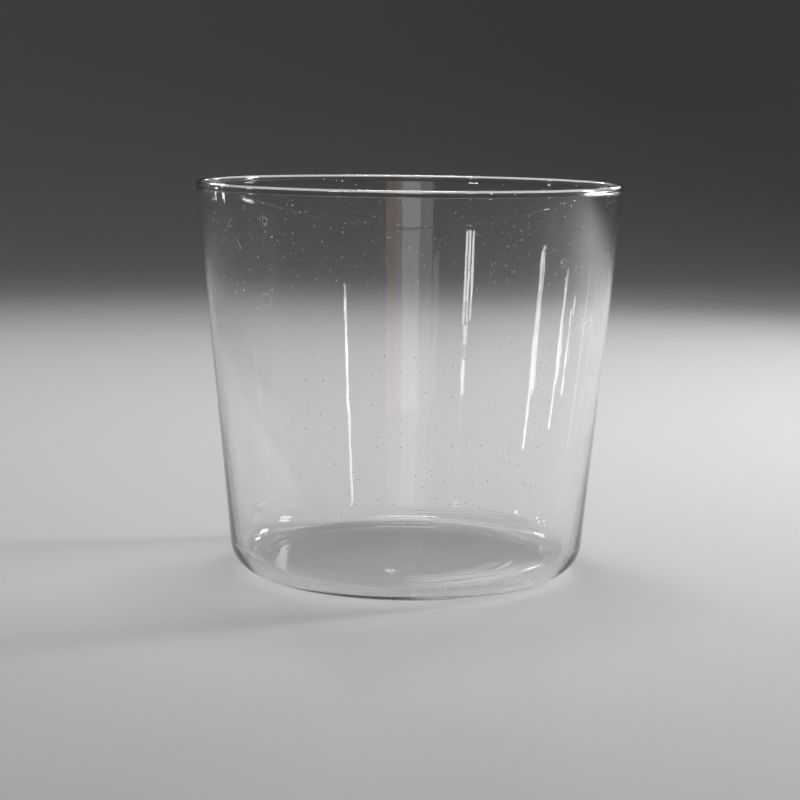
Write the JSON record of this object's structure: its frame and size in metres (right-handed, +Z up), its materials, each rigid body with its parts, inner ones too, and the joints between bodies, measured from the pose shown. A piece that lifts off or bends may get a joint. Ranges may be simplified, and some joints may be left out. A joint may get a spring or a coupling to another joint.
{
  "type": "crystallizing dish",
  "caption": "Deep, slightly tapered laboratory dish of thin clear glass with a fire-polished rim, no spout, a rounded heel and a flat base.",
  "frame": {"origin": "centre of the base, on the surface that the dish stands on", "axes": "+Z up along the axis of the dish; the dish is the same all round, so +X and +Y are free"},
  "size_m": [0.095, 0.095, 0.0871],
  "materials": {
    "clear_glass": "fire-polished, clear"
  },
  "bodies": {
    "root": {"glass_dish": "clear_glass"}
  },
  "joints": []
}
